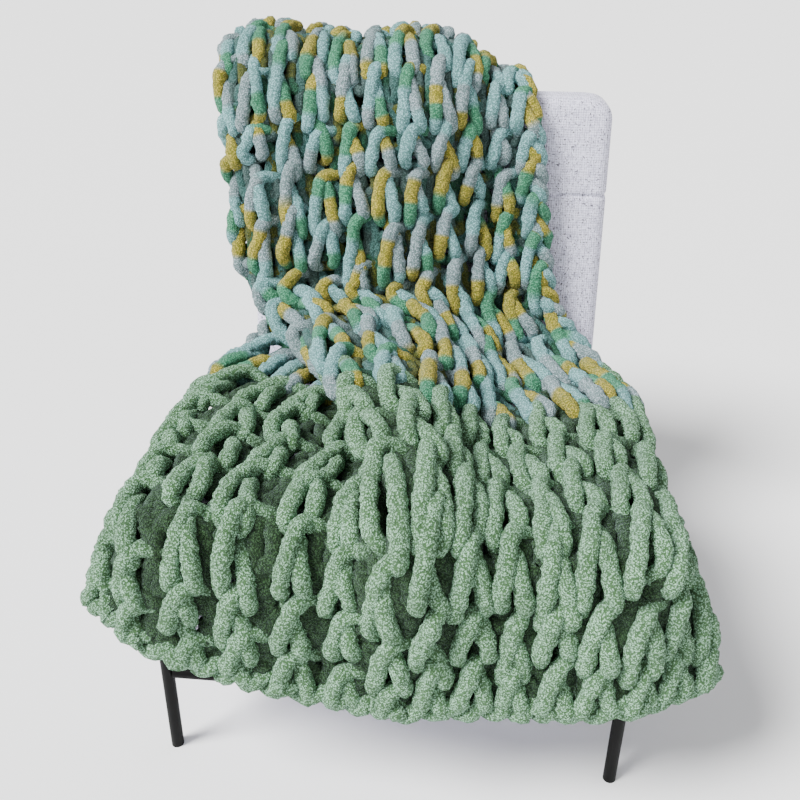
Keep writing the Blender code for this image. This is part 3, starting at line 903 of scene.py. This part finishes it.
def tweed_finish(colours):
    """Flecked woven cloth: crossed threads in relief, with dark and light slubs."""
    f = Finish("flecked_tweed", Roughness=0.9, Sheen_Weight=0.2)
    weave_x = f.node("ShaderNodeTexWave", {"bands_direction": "X"},
                     {"Vector": f.place(), "Scale": 80.0, "Distortion": 3.0, "Detail": 2.0})
    weave_z = f.node("ShaderNodeTexWave", {"bands_direction": "Z"},
                     {"Vector": f.place(), "Scale": 80.0, "Distortion": 3.0, "Detail": 2.0})
    stretch = f.node("ShaderNodeMapping", None, {"Vector": f.place(), "Scale": (1.0, 1.0, 0.35)})
    slub = f.noise(330.0, 2.0, vector=stretch)
    fleck = f.noise(330.0, 1.0)
    weave = weave_x * 0.5 + weave_z * 0.5
    thread = (slub * 0.75 + weave * 0.25).between(0.38, 0.60)
    colour = f.mix(thread, rgba(colours.tweed_shade), rgba(colours.tweed))
    colour = f.mix(fleck.between(0.63, 0.67), colour, rgba(colours.tweed_fleck))
    height = weave + slub * 0.5
    return f.shade(Base_Color=colour, Normal=f.bump(height, 0.6, 0.0012))


def metal_finish(colours):
    """Powder-coated tube: near black, with a fine even grain and a little wear."""
    f = Finish("black_tube", Metallic=0.0, Specular_IOR_Level=0.12)
    grain = f.noise(1400.0, 2.0)
    patch = f.noise(14.0, 3.0)
    colour = f.mix(patch.between(0.45, 0.75), rgba(colours.tube), rgba(colours.tube, 1.8))
    rough = patch * 0.12 + 0.50
    return f.shade(Base_Color=colour, Roughness=rough, Normal=f.bump(grain, 0.25, 0.0004))


def floor_finish(colours):
    """Plain pale floor, a little uneven in tone."""
    f = Finish("pale_floor", Roughness=0.85)
    tone = f.noise(3.0, 2.0)
    return f.shade(Base_Color=f.mix(tone, rgba(colours.floor), rgba(colours.floor, 1.01)))


def number(name, description, default, **more):
    """A float property with its own name, description and default."""
    return bpy.props.FloatProperty(name=name, description=description, default=default, **more)


def paint(name, description, default):
    """A colour property in linear light, given in sRGB parts of 255."""
    linear = [c / 255 / 12.92 if c <= 10 else ((c / 255 + 0.055) / 1.055)**2.4 for c in default]
    return bpy.props.FloatVectorProperty(name=name, description=description, default=linear,
                                         size=3, min=0.0, max=1.0, subtype="COLOR")


class ThrowSizes(bpy.types.PropertyGroup):
    """Sizes of the yarn and of the loops."""

    yarn_radius: number("Yarn radius", "Half the thickness of the yarn", 0.0122, unit="LENGTH")
    relief: number("Relief", "How far legs rise and links sink", 0.0105, unit="LENGTH")
    uneven: number("Unevenness", "How far a loop strays, in course pitches", 0.25)
    pile: number("Pile", "Roughness of the pile as a share of the radius", 0.13, subtype="FACTOR")
    ring_step: number("Ring step", "Distance between a strand's rings", 0.0052, unit="LENGTH")
    sides: bpy.props.IntProperty(name="Sides", description="Points around the strand", default=12)


class ThrowColours(bpy.types.PropertyGroup):
    """Colours of the yarn, the chair and the floor."""

    repeat: number("Colour repeat", "Length of yarn in which colours repeat", 0.23, unit="LENGTH")
    pale_blue: paint("Pale blue", "First colour of the mixed yarn", (188, 246, 255))
    grey: paint("Grey", "Second colour of the mixed yarn", (208, 224, 236))
    mustard: paint("Mustard", "Third colour of the mixed yarn", (240, 212, 70))
    green: paint("Green", "Fourth colour of the mixed yarn", (106, 198, 152))
    sage: paint("Sage", "Colour of the plain yarn", (186, 242, 204))
    # the pile's highlight is painted light on the nub tops; the two pile shades are painted shade
    # for the gaps between nubs, the strands that dip low and the layer behind
    pile_highlight: paint("Pile tips", "Light that the pile's tips add", (225, 245, 238))
    pile_shade: paint("Pile roots", "Shade in the plain yarn's pile", (120, 134, 103))
    mixed_pile_shade: paint("Mixed roots", "Shade in the mixed yarn's pile", (156, 172, 164))
    tweed: paint("Tweed", "Light threads of the chair's cloth", (228, 227, 248))
    tweed_shade: paint("Tweed shade", "Darker threads of the chair's cloth", (186, 184, 206))
    tweed_fleck: paint("Tweed fleck", "Dark slubs of the chair's cloth", (84, 80, 92))
    tube: paint("Metal", "Coat of the legs and rails", (4, 4, 4))
    floor: paint("Floor", "The floor", (250, 250, 250))


def dress(piece, material, slot, *nodes):
    """Gives a piece its material and its body, and hides the nodes that it stands for; its slot is
    not used.
    """
    piece.data.materials.append(material)
    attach(piece, "root")
    if nodes:
        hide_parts(*nodes)
    return piece


class THROW_OT_yarn(bpy.types.Operator):
    """Lay the courses of the throw and the strands around its edge"""

    bl_idname = "throw.yarn"
    bl_label = "Yarn"

    def execute(self, context):
        sizes = context.scene.throw_sizes
        finish = yarn_finish(context.scene.throw_colours)
        front = courses_object("courses_front", 0, 7, sizes)
        middle = courses_object("courses_middle", 7, 13, sizes)
        upper = courses_object("courses_upper", 13, COURSES, sizes)
        under_front = courses_object("under_front", -1, 7, sizes, behind=True)
        under_upper = courses_object("under_upper", 7, COURSES, sizes, behind=True)
        edge = strands("edge_strands", [edge_path(sizes, phase) for phase in (0.0, math.pi)],
                       sizes.sides - 2, sizes.pile, SEED)
        dress(front, finish, "yarn", "blanket")
        others = [middle, upper, under_front, under_upper, edge]
        for piece in others:
            dress(piece, finish, "yarn")
        return {"FINISHED"}


class THROW_OT_cushions(bpy.types.Operator):
    """Make the upholstered seat and back"""

    bl_idname = "throw.cushions"
    bl_label = "Seat and back"

    def execute(self, context):
        finish = tweed_finish(context.scene.throw_colours)
        z, side, front, rear = np.array(SEAT_ROWS).T
        low = SEAT_CENTRE_Y - SEAT_HALF[1] + front
        high = SEAT_CENTRE_Y + SEAT_HALF[1] - rear
        corner = np.full(len(z), SEAT_CORNER)
        seat = block("seat_cushion", z, SEAT_HALF[0] - side, low, high, corner)
        rise = np.linspace(0, 1, BACK_LEVELS)
        z = BACK_LOW + (BACK_TOP - BACK_LOW) * (1 - (1 - rise)**1.5)
        near_seam = BACK_SEAM + np.linspace(-SEAM_REACH, SEAM_REACH, SEAM_LEVELS)
        z = np.sort(np.concatenate([z, near_seam]))
        down = BACK_TOP - z
        over = np.clip(1 - down / BACK_CORNER, 0, 1)
        side = BACK_CORNER * (1 - np.sqrt(1 - over**2))
        over = np.clip(1 - down / BACK_ROUND, 0, 1)
        face = BACK_ROUND * (1 - np.sqrt(1 - over**2)) * ROUND_SHARE
        up = np.clip(1 - (z - BACK_LOW) / BACK_UNDER, 0, 1)
        under = BACK_UNDER * (1 - np.sqrt(1 - up**2)) * UNDER_SHARE
        seam = SEAM_DEPTH * np.exp(-((z - BACK_SEAM) / SEAM_DEPTH)**2)
        low = BACK_FRONT + face + seam + under
        high = BACK_FRONT + BACK_DEPTH - face - seam - under
        half = BACK_HALF - side - 0.6 * seam - under
        corner = np.minimum(BACK_EDGE, (high - low) * CORNER_SHARE)
        back = block("back_cushion", z, half, low, high, corner, BACK_LEAN, BACK_FRONT_AT)
        for piece, node in ((seat, "seat"), (back, "back")):
            dress(piece, finish, "tweed", node)
        return {"FINISHED"}


class THROW_OT_metal(bpy.types.Operator):
    """Coat the legs and rails"""

    bl_idname = "throw.metal"
    bl_label = "Legs and rails"

    def execute(self, context):
        finish = metal_finish(context.scene.throw_colours)
        tubes = [node for name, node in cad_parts.items() if name.startswith(("leg", "rail"))]
        if len(tubes) != TUBE_COUNT:
            raise RuntimeError(f"the frame should hold {TUBE_COUNT} tubes")
        for node in tubes:
            node.data.materials.clear()
            node.data.materials.append(finish)
        return {"FINISHED"}


def aimed(yaw, pitch, roll):
    """The quaternion of a camera turned left by yaw from +Y, down by pitch and rolled."""
    ahead = np.array((-math.sin(yaw) * math.cos(pitch), math.cos(yaw) * math.cos(pitch),
                      -math.sin(pitch)))
    right = np.array((math.cos(yaw), math.sin(yaw), 0.0))
    up = np.cross(right, ahead)
    right, up = (math.cos(roll) * right + math.sin(roll) * up,
                 math.cos(roll) * up - math.sin(roll) * right)
    turn = np.array((right, up, -ahead)).T
    w = 0.5 * math.sqrt(1.0 + turn[0, 0] + turn[1, 1] + turn[2, 2])
    return (w, (turn[2, 1] - turn[1, 2]) / (4 * w), (turn[0, 2] - turn[2, 0]) / (4 * w),
            (turn[1, 0] - turn[0, 1]) / (4 * w))


class THROW_OT_stage(bpy.types.Operator):
    """Set the floor, the light and the camera"""

    bl_idname = "throw.stage"
    bl_label = "Stage"

    def execute(self, context):
        scene = context.scene
        size = FLOOR_HALF * np.linspace(-1, 1, FLOOR_POINTS)
        x, y = np.meshgrid(size, size, indexing="ij")
        points = np.stack([x, y, np.zeros_like(x)], axis=-1).reshape(-1, 3)
        floor = make_object("floor", points, grid_faces(FLOOR_POINTS, FLOOR_POINTS, False))
        floor.data.materials.append(floor_finish(scene.throw_colours))
        world = bpy.data.worlds.new("studio")
        world.use_nodes = True
        sky = world.node_tree.nodes["Background"]
        sky.inputs["Color"].default_value = (1.0, 1.0, 1.0, 1.0)
        sky.inputs["Strength"].default_value = SKY_STRENGTH
        scene.world = world
        lamp = bpy.data.objects.new("key", bpy.data.lights.new("key", "SUN"))
        lamp.data.energy = SUN_ENERGY
        lamp.data.angle = math.radians(SUN_ANGLE)
        lamp.rotation_euler = [math.radians(angle) for angle in SUN_TURN]
        scene.collection.objects.link(lamp)
        camera = bpy.data.objects.new("camera", bpy.data.cameras.new("camera"))
        camera.data.lens = LENS
        camera.data.sensor_width = SENSOR
        camera.rotation_mode = "QUATERNION"
        camera.location = CAMERA_AT
        camera.rotation_quaternion = aimed(*[math.radians(angle) for angle in CAMERA_TURN])
        scene.collection.objects.link(camera)
        scene.camera = camera
        return {"FINISHED"}


class THROW_PT_panel(bpy.types.Panel):
    """The throw's sizes, colours and steps"""

    bl_label = "Crochet throw"
    bl_idname = "THROW_PT_panel"
    bl_space_type = "VIEW_3D"
    bl_region_type = "UI"
    bl_category = "Throw"

    def draw(self, context):
        for group in (context.scene.throw_sizes, context.scene.throw_colours):
            column = self.layout.column()
            for key in group.__annotations__:
                column.prop(group, key)
        for step in STEPS:
            self.layout.operator(step.bl_idname)


STEPS = (THROW_OT_stage, THROW_OT_yarn, THROW_OT_cushions, THROW_OT_metal)
CLASSES = (ThrowSizes, ThrowColours, *STEPS, THROW_PT_panel)


def register():
    """Registers the classes and the scene's properties."""
    for made in CLASSES:
        bpy.utils.register_class(made)
    bpy.types.Scene.throw_sizes = bpy.props.PointerProperty(type=ThrowSizes)
    bpy.types.Scene.throw_colours = bpy.props.PointerProperty(type=ThrowColours)


def unregister():
    """Takes the properties and the classes out again."""
    del bpy.types.Scene.throw_sizes
    del bpy.types.Scene.throw_colours
    for made in reversed(CLASSES):
        bpy.utils.unregister_class(made)


def main():
    """Builds the whole scene."""
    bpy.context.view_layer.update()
    register()
    bpy.ops.throw.stage()
    bpy.ops.throw.yarn()
    bpy.ops.throw.cushions()
    bpy.ops.throw.metal()


if __name__ == "__main__":
    main()
